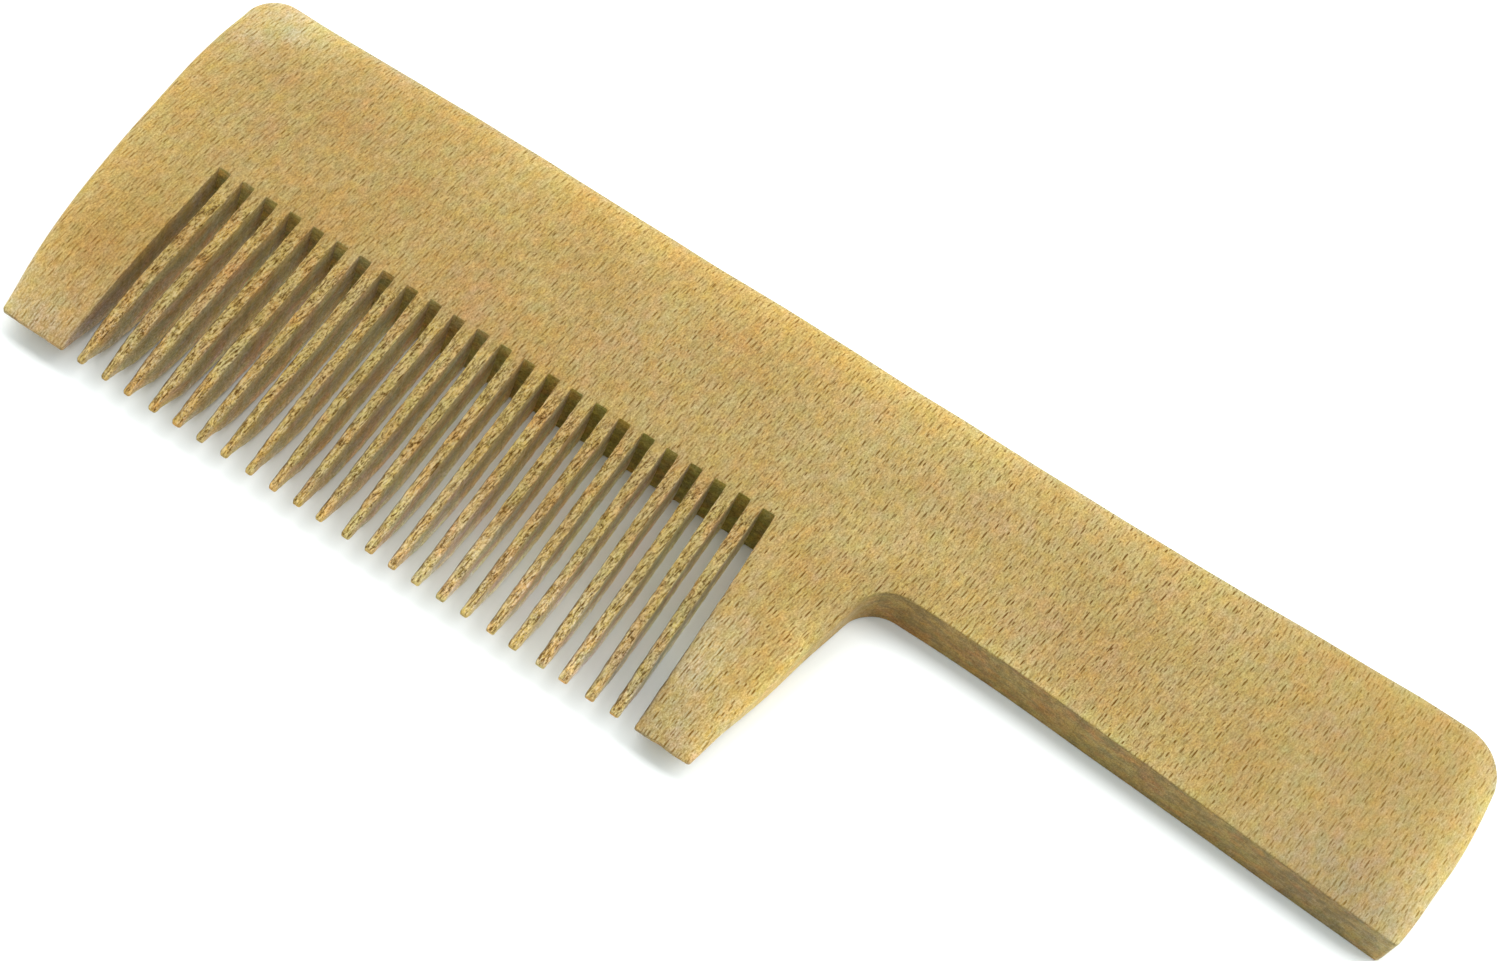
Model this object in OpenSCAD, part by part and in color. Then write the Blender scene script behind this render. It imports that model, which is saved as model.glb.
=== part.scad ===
// Wooden hair comb with a broad flat handle, sawn from one board and lying on its back face.
// X runs along the comb to the handle end, Y across it to the spine, Z up. Sizes in millimetres.
// The origin is under the middle of the comb, on the face it lies on.

/* [Board] */
// Length over both ends
comb_length = 191; // [170:1:220]
// Height from the tooth tips to the spine, at the tall end by the handle
comb_height = 61; // [56:1:70]
// Thickness of the board
thickness = 7.5; // [6:0.1:9]
// Thickness left at the handle end, after the upper face has been sanded down
end_thickness = 6.4; // [5.5:0.1:7.5]
// Distance from the handle end over which the upper face falls
taper_length = 64; // [40:1:75]
// Radius of the rolled edges along the spine
spine_roll = 2.4; // [1:0.1:2.7]
// Radius of the rolled edges round both ends
end_roll = 2.2; // [1:0.1:2.5]

/* [Ends] */
// Plan radius of the bowed left end
left_bow = 256; // [220:1:400]
// Height above the middle line at which the left end stands out most
left_apex = 7.8; // [0:0.1:12]
// Plan radius of the bowed handle end
right_bow = 94; // [85:1:140]
// Height above the middle line at which the handle end stands out most
right_apex = 21.5; // [16:0.1:23]
// Radius of the corner between the left end and the spine
left_corner = 4.6; // [4:0.1:9]
// Radius of the corner between the handle end and the spine
right_corner = 6.5; // [4:0.1:9]

/* [Teeth] */
// Number of saw slots between the two guard teeth
slot_count = 24; // [18:1:24]
// Distance from slot to slot
slot_pitch = 3.55; // [3.3:0.05:3.6]
// Middle of the first slot, from the middle of the comb
first_slot = -82.3; // [-84:0.1:-80]
// Depth of wood between the slots and the spine
back_height = 27.7; // [24:0.1:31]
// Slot width at the root
root_slot = 1.7; // [1.4:0.05:1.8]
// Slot width near the tips, where the teeth are slimmer
tip_slot = 2.35; // [1.9:0.05:2.5]
// Radius of the saw blade that cut the slots
saw_radius = 50; // [45:1:70]
// Height of the saw blade's axle above the upper face
saw_rise = 7.6; // [2:0.1:12]
// Length of tooth over which both faces close in to the tip
bevel_length = 17.3; // [12:0.1:22]
// Radius of the arc in which they close in
bevel_radius = 52; // [48:1:90]
// Angle at which the line of tips runs off the line of the spine
tip_skew = 1.07; // [0:0.01:1.5]

/* [Handle] */
// Foot of the guard tooth beside the handle, from the middle of the comb
guard_tip = 8.95; // [8:0.05:11]
// Lean of that guard tooth's outer edge
guard_lean = 12.1; // [8:0.1:16]
// Radius of the inner corner between guard tooth and handle
notch_fillet = 5; // [3:0.1:8]
// Radius of the bow in which the handle's lower edge starts to drop
edge_bow = 300; // [250:1:500]
// Length of that bow
edge_bow_length = 20.4; // [15:0.1:30]

/* [Hidden] */
$fn = 96;

left_x = -comb_length / 2;
right_x = comb_length / 2;
spine_y = comb_height / 2;
tip_y = -comb_height / 2;
root_y = spine_y - back_height;
bevel_y = tip_y + bevel_length;
spare = 2;
wood = [0.78, 0.64, 0.4];

left_disc = [left_x + left_bow, left_apex];
right_disc = [right_x - right_bow, right_apex];
taper_start = right_x - taper_length;

// The upper face falls toward the handle end at this slope, down to the rolled edge
taper_slope = (thickness - end_thickness) / (taper_length - end_roll);

// Centre of a corner round of radius c, set inside a bow of radius r about the point d.
// side is -1 for the left end and 1 for the handle end.
function corner_centre(d, r, c, side) =
    [d[0] + side * sqrt(pow(r - c, 2) - pow(spine_y - c - d[1], 2)), spine_y - c];

left_centre = corner_centre(left_disc, left_bow, left_corner, -1);
right_centre = corner_centre(right_disc, right_bow, right_corner, 1);

// Inner corner under the handle
notch_centre = [
    guard_tip + (root_y - notch_fillet - tip_y) * tan(guard_lean) + notch_fillet / cos(guard_lean),
    root_y - notch_fillet
];

// Line of the tips, level with tip_y at the guard tooth beside the handle
function tips_at(x) = tip_y + (guard_tip - x) * tan(tip_skew);

// Section of a rounded rim: r out from the axle, h high, rolled over by c at top and bottom
module rim_section(r, h, c) {
    square([r - c, h]);
    translate([0, c]) square([r, h - 2 * c]);
    translate([r - c, c]) circle(r = c);
    translate([r - c, h - c]) circle(r = c);
}

// Board up to the spine, rolled along its upper and lower edges there
module spine_board() {
    rotate([90, 0, 90])
        linear_extrude(comb_length + 2 * spare, center = true)
            translate([tip_y - spare, 0])
                rim_section(comb_height + spare, thickness, spine_roll);
}

// Both faces curve in to the tips below the bevel line
module tooth_wedge() {
    translate([guard_tip, 0, 0])
        rotate([0, 0, -tip_skew])
            rotate([90, 0, 90])
                linear_extrude(2 * comb_length, center = true)
                    intersection() {
                        translate([tip_y, -spare])
                            square([2 * comb_height, thickness + 2 * spare]);
                        bevel_arc(thickness - bevel_radius);
                        bevel_arc(bevel_radius);
                    }
}

module bevel_arc(axle_z) {
    translate([bevel_y, axle_z]) circle(r = bevel_radius, $fn = 360);
    translate([bevel_y, -spare]) square([2 * comb_height, thickness + 2 * spare]);
}

// Disc whose rim is the bowed and rolled left end
module left_end() {
    translate([left_disc[0], left_disc[1], 0])
        rotate_extrude($fn = 720)
            rim_section(left_bow, thickness, end_roll);
}

// Disc whose rim is the bowed and rolled handle end. Its upper face falls toward the rim.
// Short of the taper a plain block stands in for it.
module handle_end() {
    rim = right_bow - end_roll;
    translate([right_disc[0], right_disc[1], 0])
        rotate_extrude($fn = 360) {
            polygon([
                [0, 0],
                [rim, 0],
                [rim, end_thickness],
                [0, end_thickness + rim * taper_slope]
            ]);
            translate([0, end_roll])
                square([right_bow, end_thickness - 2 * end_roll]);
            translate([rim, end_roll]) circle(r = end_roll, $fn = 96);
            translate([rim, end_thickness - end_roll]) circle(r = end_roll, $fn = 96);
        }
    translate([left_x - spare, -comb_height, 0])
        cube([taper_start - left_x + spare, 2 * comb_height, thickness]);
}

// Plan of what a rounded corner takes off the square meeting of an end and the spine
module corner_plan(centre, disc, radius, side) {
    out = (centre - disc) / norm(centre - disc);
    far = 2 * radius;
    difference() {
        polygon([
            centre,
            centre + far * out,
            centre + far * [side, 1],
            centre + far * [0, 1]
        ]);
        translate(centre) circle(r = radius);
    }
}

// Plan of the open space between the guard tooth and the handle's lower edge
module notch_plan() {
    lean = [cos(guard_lean), -sin(guard_lean)];
    drop = edge_bow - sqrt(pow(edge_bow, 2) - pow(edge_bow_length, 2));
    bow_end = [notch_centre[0] + edge_bow_length, root_y - drop];
    fall = edge_bow_length / sqrt(pow(edge_bow, 2) - pow(edge_bow_length, 2));
    past_x = right_x + spare;
    below_y = tip_y - spare;
    translate(notch_centre) circle(r = notch_fillet);
    polygon([
        [guard_tip - spare * tan(guard_lean), below_y],
        notch_centre - notch_fillet * lean,
        notch_centre,
        [notch_centre[0], root_y],
        bow_end,
        [past_x, bow_end[1] - (past_x - bow_end[0]) * fall],
        [past_x, below_y]
    ]);
    intersection() {
        translate([notch_centre[0], root_y - edge_bow]) circle(r = edge_bow, $fn = 1440);
        translate([notch_centre[0], root_y - notch_fillet])
            square([edge_bow_length, 2 * notch_fillet]);
    }
}

// One saw slot: its root is an arc of the blade, and it widens to the tips,
// where the ends of the teeth are taken off a little more at each side
module slot(x) {
    root = root_slot / 2;
    tip = tip_slot / 2;
    end_y = tips_at(x);
    flare = 0.3;
    translate([x, 0, 0])
        intersection() {
            translate([0, 0, -spare])
                linear_extrude(thickness + 2 * spare)
                    polygon([
                        [-root, root_y + spare],
                        [-tip, end_y + 1.3],
                        [-tip - flare, end_y],
                        [-tip - flare, end_y - spare],
                        [tip + flare, end_y - spare],
                        [tip + flare, end_y],
                        [tip, end_y + 1.3],
                        [root, root_y + spare]
                    ]);
            translate([
                -slot_pitch / 2,
                root_y - sqrt(pow(saw_radius, 2) - pow(saw_rise, 2)),
                thickness + saw_rise
            ])
                rotate([0, 90, 0]) cylinder(r = saw_radius, h = slot_pitch, $fn = 360);
        }
}

module comb() {
    color(wood)
        difference() {
            intersection() {
                spine_board();
                tooth_wedge();
                left_end();
                handle_end();
            }
            translate([0, 0, -spare])
                linear_extrude(thickness + 2 * spare) {
                    corner_plan(left_centre, left_disc, left_corner, -1);
                    corner_plan(right_centre, right_disc, right_corner, 1);
                    notch_plan();
                }
            for (i = [0 : slot_count - 1]) slot(first_slot + i * slot_pitch);
        }
}

comb();
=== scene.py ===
import math

import bpy
import numpy as np
from mathutils import Euler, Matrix, Vector, geometry, kdtree, noise


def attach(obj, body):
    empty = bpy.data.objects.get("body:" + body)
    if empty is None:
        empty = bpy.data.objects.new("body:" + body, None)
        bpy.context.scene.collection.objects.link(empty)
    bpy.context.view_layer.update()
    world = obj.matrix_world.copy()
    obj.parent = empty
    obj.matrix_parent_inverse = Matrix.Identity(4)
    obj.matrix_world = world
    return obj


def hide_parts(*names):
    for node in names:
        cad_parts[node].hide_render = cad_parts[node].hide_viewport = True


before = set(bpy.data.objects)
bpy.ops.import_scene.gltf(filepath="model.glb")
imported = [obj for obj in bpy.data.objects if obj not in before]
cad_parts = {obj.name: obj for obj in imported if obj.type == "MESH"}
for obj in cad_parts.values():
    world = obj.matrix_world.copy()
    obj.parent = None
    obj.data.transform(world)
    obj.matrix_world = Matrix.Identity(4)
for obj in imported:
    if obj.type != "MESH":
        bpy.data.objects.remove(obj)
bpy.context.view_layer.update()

# A hand-sawn wooden comb as one closed mesh, which stands for the CAD solid.
# Sizes are in millimetres, in the frame's own axes: X along the comb to the handle end,
# Y across it to the spine, Z up from the face it lies on.
MM = 0.001
THICK = 7.5
LEFT_X, RIGHT_X = -95.5, 95.5
SPINE_Y, TIP_Y = 30.5, -30.5
ROOT_Y = 2.8

# Bowed ends, each with its centre and radius, and the corners between them and the spine
LEFT_DISC, LEFT_BOW = (160.5, 7.8), 256.0
RIGHT_DISC, RIGHT_BOW = (1.5, 21.5), 94.0
LEFT_CORNER, RIGHT_CORNER = 4.6, 6.5

# Saw slots, with the radius of the blade and the height of its axle over the upper face
SLOTS = 24
PITCH = 3.55
FIRST_SLOT = -82.3
SAW_R, SAW_RISE = 50.0, 7.6
SAW_Y = ROOT_Y - math.sqrt(SAW_R**2 - SAW_RISE**2)

# Both faces close in to the tips in an arc, and the line of the tips runs off that of the spine
BEVEL_LENGTH, BEVEL_R = 17.3, 52.0
TIP_SKEW = math.tan(math.radians(1.07))

# Guard tooth by the handle, inner corner above it, and the bow in which the handle's edge drops
GUARD_TIP = 8.95
GUARD_LEAN = math.radians(12.1)
NOTCH_R = 5.0
NOTCH = (
    GUARD_TIP + (ROOT_Y - NOTCH_R - TIP_Y) * math.tan(GUARD_LEAN) + NOTCH_R / math.cos(GUARD_LEAN),
    ROOT_Y - NOTCH_R,
)
EDGE_BOW, EDGE_BOW_LENGTH = 300.0, 20.4


def tips_at(x):
    """Line of the tips."""
    return TIP_Y + (GUARD_TIP - x) * TIP_SKEW


def slot_x(slot):
    """Middle of a slot."""
    return FIRST_SLOT + PITCH * slot


def ripple(x, y=0.0, z=0.0):
    """Smooth noise from -1 to 1, the same on each run."""
    return noise.noise(Vector((x, y, z)))


def smooth(value, low, high):
    """0 at low and 1 at high, with a soft start and end."""
    t = np.clip((value - low) / (high - low), 0, 1)
    return t * t * (3 - 2 * t)


def between(value, *rows):
    """Height at value of the line through rows of (place, height)."""
    places, levels = zip(*rows)
    return np.interp(value, places, levels)


def uneven(size, step, row, teeth):
    """A small departure of its own for each tooth."""
    return [2 * size * ripple(step * k, row) for k in teeth]


# How each tooth departs from the even grid, in millimetres to the right. Tooth 0 is the guard
# tooth at the left and 24 the one by the handle. First its foot, then its lean and bend by its tip.
FOOT = [-0.17, -0.17, -0.1, -0.03] + [0.0] * 20 + [0.12]
LEAN = [-0.22, -0.62, -0.3, -0.26] + uneven(0.09, 3.7, 11.2, range(4, 24)) + [-0.1]
BEND = [-0.25, 0.12, -0.12, -0.16, -0.4, -0.6, -0.65, -0.8, -0.6, -0.6, -0.5, -0.85, -0.4]
BEND += [-0.5, -0.6, -0.7, -0.55, -0.65, -0.3, -0.55, -0.15, -0.45, 0.0, -0.05, -0.3]
# Its left edge alone, by its tip
LEFT_TOE = [0.0, -0.42, -0.42, -0.58, -0.40, -0.22, -0.05, 0.1, 0.1, 0.05, 0.0, 0.18, 0.0]
LEFT_TOE += [-0.1, 0.0, -0.12, -0.1, 0.0, -0.12, -0.15, -0.25, -0.15, -0.15, -0.15, 0.1]
# Its left and right edges in the last few millimetres, for the teeth that need it
LEFT_NIP = {1: 0.3, 2: 0.25, 3: 0.17, 4: 0.14, 5: 0.05}
RIGHT_NIP = {1: -0.4, 2: -0.4, 3: -0.5, 4: -0.35, 5: -0.1, 6: -0.2}
# Its right edge in its lower half, and both edges inward
BELLY = 0.12
SLIM = [0.0] + uneven(0.05, 2.3, 47.7, range(1, 24)) + [0.0]
# How far its tip stops short, and how far up each slot is cut past the line of the roots
SHORT = [0.0] + uneven(0.22, 5.1, 83.1, range(1, 24)) + [0.0]
DEEP = uneven(0.10, 4.3, 19.4, range(SLOTS))


# Plan outline, counter-clockwise, with the wood on the left of the way along it.
# Each point has its X and Y, the width of the broken edge there, the kind of side it is on,
# and how far the side follows the arc of the saw on its way down.
SAWN, TIP, ROLLED, LOWER = 0, 1, 2, 3
OUTLINE = []


def add(x, y, edge, kind, follows_saw=0.0):
    OUTLINE.append((x, y, edge, kind, follows_saw))


TIP_EDGE = 0.1
ROOT_EDGE = 0.09
SIDE_EDGE = 0.2
TIP_CORNER = 0.3
ROOT_CORNER = 0.16
GUARD_CORNER = 0.45
HANDLE_CORNER = 0.65
HALF_TOOTH = 1.2
TOOTH_LENGTH = 31.0
SAW_FADE = 4.0
WALL_STEP = 0.5
WAVE_LENGTH = 9.0
LEFT_TIP_Y = tips_at(-92.9)
LEFT_TIP_X = LEFT_DISC[0] - math.sqrt(LEFT_BOW**2 - (LEFT_TIP_Y - LEFT_DISC[1]) ** 2)


def saw_fade(y):
    """How far a slot wall follows the arc of the saw, 1 at the root."""
    return min(1.0, max(0.0, 1 - (ROOT_Y - y) / SAW_FADE)) ** 1.5


def half_slot(y):
    """Half width of a slot, which grows to the tips."""
    return float(between(
        y, (-31.5, 1.225), (-27.0, 1.2), (-20.2, 1.185), (-16.2, 1.15),
        (-12.2, 1.1), (-8.2, 1.04), (-2.2, 0.95), (2.8, 0.865),
    ))


def wall_x(slot, side, y):
    """X of the left (-1) or right (+1) wall of a slot."""
    tooth = slot if side < 0 else slot + 1
    down = max(0.0, (ROOT_Y - y) / TOOTH_LENGTH)
    above = y - tips_at(slot_x(slot))
    last = float(smooth(above, 5.5, 0.3))
    half = half_slot(y) + SLIM[tooth] * min(1.0, 2 * down)
    if side > 0:
        toe = LEFT_TOE[tooth] * down**1.5 + LEFT_NIP.get(tooth, 0.0) * last
    else:
        toe = RIGHT_NIP.get(tooth, 0.0) * last
        toe += BELLY * float(smooth(y, -7, -15) * smooth(above, 2.0, 6.0))
    wobble = 0.05 * ripple(slot * 7.1 + side, y * 0.45, 3.0)
    wobble += 0.07 * ripple(slot * 3.3 - side, y * 1.3, 9.0)
    bend = FOOT[tooth] + LEAN[tooth] * down**1.8 + BEND[tooth] * down**3
    return slot_x(slot) + side * half + bend + toe + wobble


def sawn_edge(slot, side, y):
    """Width of the broken edge on a tooth, with small chips."""
    a = ripple(slot * 5.7 + side * 2.1, y * 0.9, 21.0)
    b = ripple(slot * 8.3 - side * 1.7, y * 2.6, 33.0)
    c = ripple(slot * 2.9 + side * 4.7, y * 0.35, 55.0)
    rough = 0.105 + 0.05 * a + 0.05 * b + 0.10 * max(0.0, b - 0.25) + 0.07 * max(0.0, c)
    above = y - tips_at(slot_x(slot))
    rounded = 0.2 * float(smooth(above, 0.5, 1.8) * smooth(above, 14, 4))
    return min(0.24, max(0.06, rough)) + rounded


def trace_round(cx, cy, r, start, stop, count, edge, kind, follows_saw=0.0):
    """Points round a small corner, from one angle in degrees to another."""
    for k in range(count + 1):
        a = math.radians(start + (stop - start) * k / count)
        add(cx + r * math.cos(a), cy + r * math.sin(a), edge, kind, follows_saw)


def trace_tip(x0, x1, y0, y1, step, wave=0.0):
    """Tip edge of a tooth, between its rounded corners."""
    n = max(2, int(round((x1 - x0) / step)))
    for k in range(1, n):
        t = k / n
        x = x0 + (x1 - x0) * t
        off = 0.06 * ripple(x * 1.6, 71.0) + wave * ripple(x * 0.35, 17.0)
        add(x, y0 + (y1 - y0) * t + off * math.sin(math.pi * t), TIP_EDGE, TIP)


def trace_arc(centre, radius, start, stop, step, kind, first=1, last=0, wave=0.0):
    """A long arc, from one angle in degrees to another, waved a little in and out."""
    length = abs(math.radians(stop - start)) * radius
    n = max(2, int(round(length / step)))
    for k in range(first, n + 1 - last):
        a = math.radians(start + (stop - start) * k / n)
        r = radius + wave * ripple(a * radius / WAVE_LENGTH, radius)
        add(centre[0] + r * math.cos(a), centre[1] + r * math.sin(a), SIDE_EDGE, kind)


def trace_line(a, b, step, kind, wave):
    """A long line that waves a little to both sides, and not at its ends."""
    length = math.dist(a, b)
    n = max(2, int(round(length / step)))
    ux, uy = (b[0] - a[0]) / length, (b[1] - a[1]) / length
    for k in range(1, n + 1):
        t = k / n
        off = wave * ripple(length * t / WAVE_LENGTH, a[0], a[1]) * min(1.0, 6 * t, 6 * (1 - t))
        x = a[0] + (b[0] - a[0]) * t - uy * off
        y = a[1] + (b[1] - a[1]) * t + ux * off
        add(x, y, SIDE_EDGE, kind)


def trace_left_tip():
    """Tip of the guard tooth at the left."""
    r = GUARD_CORNER
    trace_round(LEFT_TIP_X + r, LEFT_TIP_Y + r, r, 188, 270, 4, TIP_EDGE, TIP)
    low = tips_at(slot_x(0) - HALF_TOOTH) + SHORT[0]
    end = wall_x(0, -1, low + TIP_CORNER) - TIP_CORNER
    trace_tip(LEFT_TIP_X + r, end, LEFT_TIP_Y, low, 0.55, 0.15)


def trace_slots():
    c = TIP_CORNER
    for slot in range(SLOTS):
        high = ROOT_Y + DEEP[slot]
        shoulder = high - ROOT_CORNER
        # Up the left wall, from the tip of the tooth at its left
        low = tips_at(slot_x(slot) - HALF_TOOTH) + SHORT[slot]
        tip_x = wall_x(slot, -1, low + c)
        trace_round(tip_x - c, low + c, c, -90, 0, 4, TIP_EDGE, TIP)
        n = int(round((shoulder - low - c) / WALL_STEP))
        for k in range(1, n + 1):
            y = low + c + (shoulder - low - c) * k / n
            add(wall_x(slot, -1, y), y, sawn_edge(slot, -1, y), SAWN, saw_fade(y))
        # Across the root
        left = wall_x(slot, -1, shoulder) + ROOT_CORNER
        right = wall_x(slot, 1, shoulder) - ROOT_CORNER
        trace_round(left, shoulder, ROOT_CORNER, 150, 90, 2, ROOT_EDGE, SAWN, 1.0)
        for t in (0.33, 0.67):
            x = left + (right - left) * t
            add(x, high + 0.02 * ripple(x * 3, 5.0), ROOT_EDGE, SAWN, 1.0)
        trace_round(right, shoulder, ROOT_CORNER, 90, 30, 2, ROOT_EDGE, SAWN, 1.0)
        # Down the right wall, to the tip of the tooth at its right
        low = tips_at(slot_x(slot) + HALF_TOOTH) + SHORT[slot + 1]
        n = int(round((shoulder - low - c) / WALL_STEP))
        for k in range(n):
            y = shoulder - (shoulder - low - c) * k / n
            add(wall_x(slot, 1, y), y, sawn_edge(slot, 1, y), SAWN, saw_fade(y))
        tip_x = wall_x(slot, 1, low + c)
        trace_round(tip_x + c, low + c, c, 180, 270, 4, TIP_EDGE, TIP)
        # Along the tip of that tooth
        if slot < SLOTS - 1:
            next_low = tips_at(slot_x(slot + 1) - HALF_TOOTH) + SHORT[slot + 1]
            next_x = wall_x(slot + 1, -1, next_low + c) - c
            trace_tip(tip_x + c, next_x, low, next_low, 0.3)


def trace_guard():
    """Guard tooth by the handle: its tip, its leaning edge and the inner corner above it."""
    low = tips_at(slot_x(SLOTS - 1) + HALF_TOOTH)
    start = wall_x(SLOTS - 1, 1, low + TIP_CORNER) + TIP_CORNER
    r = GUARD_CORNER
    end_x, end_y = GUARD_TIP - 0.1, TIP_Y + 0.02
    cx, cy = end_x - r, end_y + r
    lean = math.degrees(GUARD_LEAN)
    along, across = math.cos(GUARD_LEAN), math.sin(GUARD_LEAN)
    trace_tip(start, cx, low, end_y, 0.5, 0.2)
    trace_round(cx, cy, r, -90, -lean, 4, TIP_EDGE, TIP)
    foot = (cx + r * along, cy - r * across)
    touch = (NOTCH[0] - NOTCH_R * along, NOTCH[1] + NOTCH_R * across)
    trace_line(foot, touch, 0.75, ROLLED, 0.10)
    trace_arc(NOTCH, NOTCH_R, 180 - lean, 90, 0.45, ROLLED)


def trace_handle():
    """Lower edge of the handle and its corner. Gives the angle at which the bowed end starts."""
    drop_angle = math.degrees(math.asin(EDGE_BOW_LENGTH / EDGE_BOW))
    trace_arc((NOTCH[0], ROOT_Y - EDGE_BOW), EDGE_BOW, 90, 90 - drop_angle, 0.8, LOWER, wave=0.05)
    depth = math.sqrt(EDGE_BOW**2 - EDGE_BOW_LENGTH**2)
    bow_end = (NOTCH[0] + EDGE_BOW_LENGTH, ROOT_Y - EDGE_BOW + depth)
    slope = EDGE_BOW_LENGTH / depth
    # Where that edge would meet the bowed end, found by going back and forth between the two
    x, y = 92.0, 0.0
    for _ in range(40):
        y = bow_end[1] - (x - bow_end[0]) * slope
        x = RIGHT_DISC[0] + math.sqrt(RIGHT_BOW**2 - (y - RIGHT_DISC[1]) ** 2)
    before = (x - HANDLE_CORNER, y + HANDLE_CORNER * slope)
    trace_line(bow_end, before, 0.8, LOWER, 0.05)
    start = math.degrees(math.asin((y + HANDLE_CORNER - RIGHT_DISC[1]) / RIGHT_BOW))
    a = math.radians(start)
    after = (RIGHT_DISC[0] + RIGHT_BOW * math.cos(a), RIGHT_DISC[1] + RIGHT_BOW * math.sin(a))
    for t in (0.25, 0.5, 0.75):
        pull = ((1 - t) ** 2, 2 * t * (1 - t), t * t)
        add(*np.dot(pull, (before, (x, y), after)), SIDE_EDGE, LOWER)
    return start


def corner_steps(disc, bow, corner):
    """Steps along X and Y from a bowed end's centre to the centre of its corner round."""
    rise = SPINE_Y - corner - disc[1]
    return math.sqrt((bow - corner) ** 2 - rise**2), rise


def trace_ends_and_spine(start):
    """Handle end, spine and left end, each corner on the way."""
    wave = 0.12
    run, rise = corner_steps(RIGHT_DISC, RIGHT_BOW, RIGHT_CORNER)
    right = (RIGHT_DISC[0] + run, SPINE_Y - RIGHT_CORNER)
    stop = math.degrees(math.atan2(rise, run))
    trace_arc(RIGHT_DISC, RIGHT_BOW, start, stop, 0.75, ROLLED, first=0, wave=wave)
    trace_arc(right, RIGHT_CORNER, stop, 90, 0.55, ROLLED)
    run, rise = corner_steps(LEFT_DISC, LEFT_BOW, LEFT_CORNER)
    left = (LEFT_DISC[0] - run, SPINE_Y - LEFT_CORNER)
    trace_line((right[0], SPINE_Y), (left[0], SPINE_Y), 0.8, ROLLED, wave)
    start = 180 - math.degrees(math.atan2(rise, run))
    trace_arc(left, LEFT_CORNER, 90, start, 0.5, ROLLED)
    low = LEFT_TIP_Y + GUARD_CORNER - LEFT_DISC[1]
    stop = 180 - math.degrees(math.asin(low / LEFT_BOW))
    trace_arc(LEFT_DISC, LEFT_BOW, start, stop, 0.75, ROLLED, last=1, wave=wave)


trace_left_tip()
trace_slots()
trace_guard()
trace_ends_and_spine(trace_handle())

PLAN = np.array([row[:2] for row in OUTLINE])
EDGE, KIND, FOLLOWS_SAW = np.array([row[2:] for row in OUTLINE]).T
N = len(PLAN)


def nudge_outline():
    """Small departures of the sanded sides from their true lines."""
    x, y = PLAN[:, 0].copy(), PLAN[:, 1].copy()
    sanded = (KIND == ROLLED) | (KIND == TIP)
    left = sanded & (x < -86)
    PLAN[left, 0] += between(
        y[left], (-28, -0.33), (0, -0.36), (16, -0.5), (22, -0.58), (27, -0.45), (30, -0.1)
    )
    right = sanded & (x > 88)
    PLAN[right, 0] += between(y[right], (8, 0.0), (13, 0.1), (24, 0.15), (30, 0.2))
    up = between(
        x, (-92, 0.0), (-86, 0.0), (-60, 0.2), (-10, 0.2), (25, 0.05), (50, 0.03),
        (66, 0.24), (76, 0.48), (82, 0.62), (88, 0.55), (95, 0.3),
    )
    PLAN[:, 1] += np.where(sanded & (y > 20), up * np.clip((y - 24) / 5, 0, 1), 0)
    guard = (KIND != SAWN) & (x > 4.5) & (x < 20) & (y < 2.5)
    PLAN[guard, 0] -= between(
        y[guard], (-30.5, 0.45), (-24, 0.5), (-16, 0.32), (-8, 0.3), (-1, 0.2), (2, 0.0)
    )


def inward():
    """Direction into the wood at each point of the outline."""
    ahead = np.roll(PLAN, -1, 0) - PLAN
    ahead /= np.linalg.norm(ahead, axis=1)[:, None]
    tangent = ahead + np.roll(ahead, 1, 0)
    tangent /= np.linalg.norm(tangent, axis=1)[:, None]
    return np.stack([-tangent[:, 1], tangent[:, 0]], 1)


nudge_outline()
INWARD = inward()


def roll_here(x, y, kind):
    """Width in plan and depth of the rolled rim at a point of the outline."""
    if kind != ROLLED:
        return 0.0, 0.0
    vary = 1 + 0.10 * ripple(x / 14.0, y / 14.0, 2.0)
    # Left end and its corner
    if x < -88:
        top = between(y, (-28, 0.0), (10, 0.0), (20, 0.25), (27, 1.0), (31, 1.0))
        return (1.9 + 2.2 * top) * vary, (1.25 + 1.25 * top) * vary
    # Spine
    if y > 20 and x < 88:
        wide = between(x, (-86, 4.1), (-70, 3.9), (0, 3.8), (40, 3.4), (62, 2.6), (85, 2.4))
        deep = between(
            x, (-86, 2.5), (-70, 2.0), (10, 2.0), (25, 2.2), (45, 1.75), (64, 1.15), (85, 1.05)
        )
        return wide * vary, deep * vary
    # Handle end
    if x > 80:
        wide = between(y, (-1.5, 0.5), (2, 1.3), (10, 3.0), (18, 3.6), (24, 3.3), (31, 2.4))
        deep = between(y, (-1.5, 0.28), (2, 0.8), (10, 1.6), (18, 1.8), (24, 1.5), (31, 1.05))
        return wide * vary, deep * vary
    # Guard tooth and inner corner by the handle
    fade = between(y, (-31, 0.75), (-28, 1.0), (-8, 1.0), (-2, 0.7), (1.0, 0.25), (2.8, 0.06))
    return 2.6 * vary * fade, 2.1 * vary * fade


ROLL = np.array([roll_here(x, y, kind) for (x, y), kind in zip(PLAN, KIND)])
NO_ROLL = 0.12
ROLL_POWER = 2.35


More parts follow.
